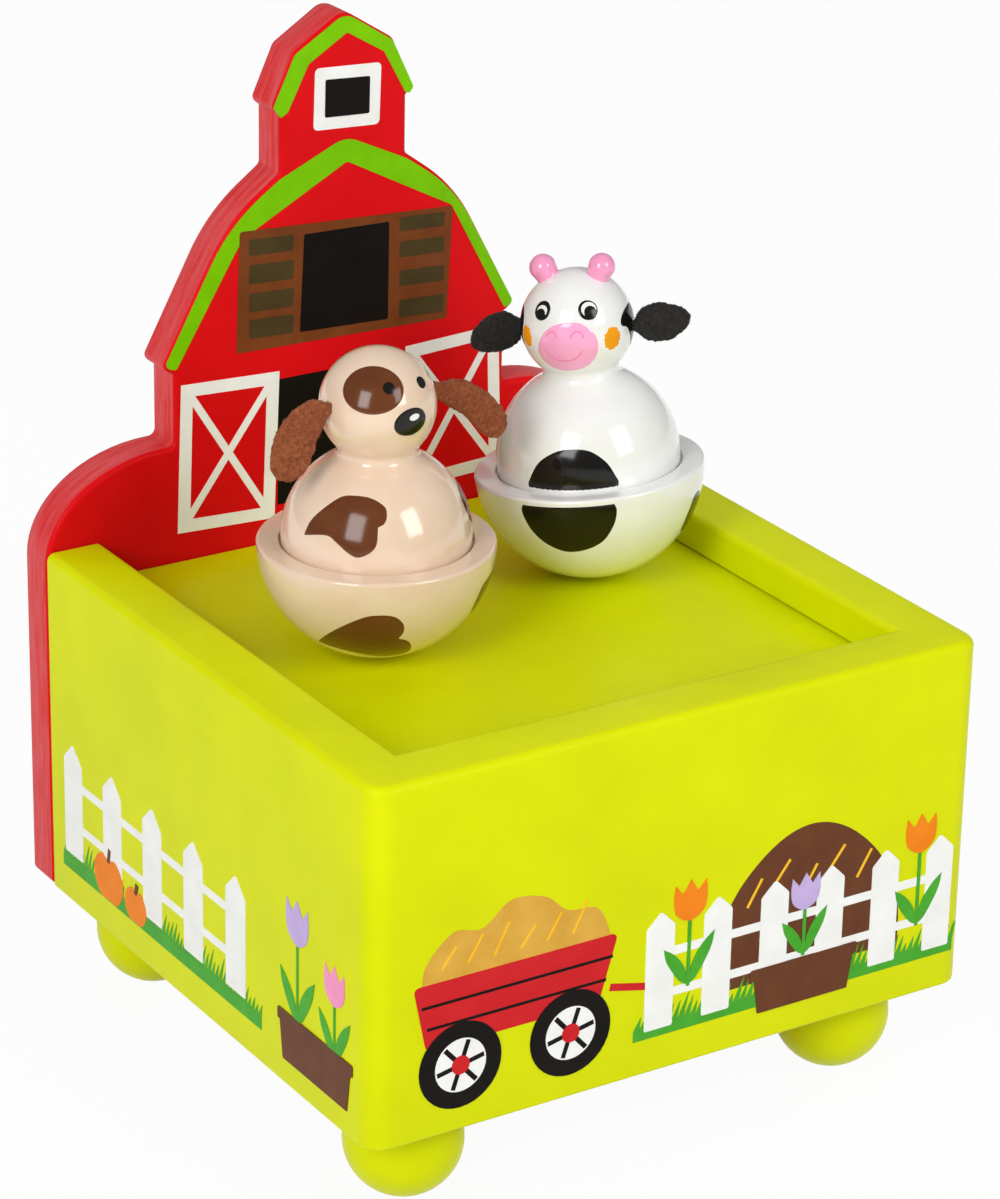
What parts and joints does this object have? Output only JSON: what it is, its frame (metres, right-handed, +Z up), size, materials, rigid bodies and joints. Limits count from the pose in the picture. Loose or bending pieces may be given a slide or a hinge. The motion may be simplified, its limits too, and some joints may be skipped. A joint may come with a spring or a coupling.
{
  "type": "toy music box",
  "caption": "Wind-up wooden toy music box: a sunk stage before a barn-shaped back board, on which hidden magnets lead two roly-poly animals round.",
  "frame": {"origin": "under the middle of the box and back board, at the lowest point of the ball feet", "axes": "+Z up, the front of the box faces -Y, the barn-shaped board closes the back at +Y, +X to the right seen from the front"},
  "size_m": [0.11, 0.11, 0.1587],
  "materials": {
    "lime_lacquer": "wood with a smooth lime green lacquer, slightly glossy",
    "red_lacquer": "plywood with a smooth red lacquer",
    "bare_plywood": "bare sanded plywood",
    "beige_lacquer": "turned wood with a glossy beige lacquer",
    "white_lacquer": "turned wood with a glossy white lacquer",
    "pink_lacquer": "turned wood with a glossy pink lacquer",
    "brown_felt": "thin brown wool felt",
    "black_felt": "thin black wool felt",
    "zinc_casting": "plain zinc casting",
    "brass": "turned and cut brass",
    "spring_steel": "ground spring steel",
    "plated_steel": "zinc plated steel",
    "magnet_nickel": "nickel plated magnet",
    "fan_plastic": "moulded ivory plastic"
  },
  "bodies": {
    "box": {"front_wall": "lime_lacquer", "left_wall": "lime_lacquer", "right_wall": "lime_lacquer", "stage_plate": "lime_lacquer", "bottom_board": "bare_plywood", "barn_board": "red_lacquer", "foot_front_left": "lime_lacquer", "foot_front_right": "lime_lacquer", "foot_back_left": "lime_lacquer", "foot_back_right": "lime_lacquer", "foot_screw_front_left": "plated_steel", "foot_screw_front_right": "plated_steel", "foot_screw_back_left": "plated_steel", "foot_screw_back_right": "plated_steel", "bottom_screw_left_front": "plated_steel", "bottom_screw_left_back": "plated_steel", "bottom_screw_right_front": "plated_steel", "bottom_screw_right_back": "plated_steel", "movement_bed": "zinc_casting", "movement_screw_front": "plated_steel", "movement_screw_back": "plated_steel", "comb": "spring_steel", "comb_screw_low": "plated_steel", "comb_screw_high": "plated_steel", "governor_bracket": "brass", "bracket_screw": "plated_steel", "wrap_spring": "spring_steel"},
    "key": {"winding_key": "plated_steel", "winding_arbor": "spring_steel"},
    "carousel": {"spring_barrel": "brass", "mainspring": "spring_steel", "crown_wheel": "brass", "turntable": "bare_plywood", "dog_drive_magnet": "magnet_nickel", "cow_drive_magnet": "magnet_nickel"},
    "cylinder": {"pinned_cylinder": "brass", "cylinder_arbor": "spring_steel", "crown_pinion": "brass", "cylinder_gear": "brass"},
    "governor": {"governor_arbor": "spring_steel", "governor_pinion": "brass", "worm_wheel": "brass"},
    "fan": {"governor_worm": "spring_steel", "air_fan": "fan_plastic"},
    "dog_magnet": {"dog_base_magnet": "magnet_nickel"},
    "dog": {"dog_bowl": "beige_lacquer", "dog_dome": "beige_lacquer", "dog_head": "beige_lacquer", "dog_ear_left": "brown_felt", "dog_ear_right": "brown_felt"},
    "cow_magnet": {"cow_base_magnet": "magnet_nickel"},
    "cow": {"cow_bowl": "white_lacquer", "cow_dome": "white_lacquer", "cow_head": "white_lacquer", "cow_ear_left": "black_felt", "cow_ear_right": "black_felt", "cow_horn_left": "pink_lacquer", "cow_horn_right": "pink_lacquer"}
  },
  "joints": [
    {"name": "key_winding", "type": "hinge", "parent": "box", "child": "key", "pos_m": [0.002, 0.0045, 0.0122], "axis": [0, 0, 1], "range_deg": [0, 1980]},
    {"name": "carousel_turn", "type": "hinge", "parent": "box", "child": "carousel", "pos_m": [0.002, 0.0045, 0.0398], "axis": [0, 0, 1], "continuous": true},
    {"name": "cylinder_turn", "type": "hinge", "parent": "box", "child": "cylinder", "pos_m": [0.002, 0.0045, 0.04329], "axis": [1, 0, 0], "continuous": true},
    {"name": "governor_turn", "type": "hinge", "parent": "box", "child": "governor", "pos_m": [0.002, 0.01347, 0.03811], "axis": [1, 0, 0], "continuous": true},
    {"name": "fan_turn", "type": "hinge", "parent": "box", "child": "fan", "pos_m": [0.0351, 0.02009, 0.03811], "axis": [0, 0, 1], "continuous": true},
    {"name": "dog_lift", "type": "slide", "parent": "carousel", "child": "dog_magnet", "axis": [0, 0, 1], "range_m": [0, 0.06]},
    {"name": "dog_spin", "type": "hinge", "parent": "dog_magnet", "child": "dog", "pos_m": [-0.02137, 0.00055, 0.0895], "axis": [0, 0, 1], "continuous": true},
    {"name": "cow_lift", "type": "slide", "parent": "carousel", "child": "cow_magnet", "axis": [0, 0, 1], "range_m": [0, 0.06]},
    {"name": "cow_spin", "type": "hinge", "parent": "cow_magnet", "child": "cow", "pos_m": [0.0248, 0.01095, 0.0895], "axis": [-0.0649, 0.0927, 0.9936], "continuous": true}
  ],
  "couplings": [
    {"joint": "cylinder_turn", "follows": "carousel_turn", "ratio": 4},
    {"joint": "governor_turn", "follows": "carousel_turn", "ratio": -12},
    {"joint": "fan_turn", "follows": "carousel_turn", "ratio": 240}
  ]
}
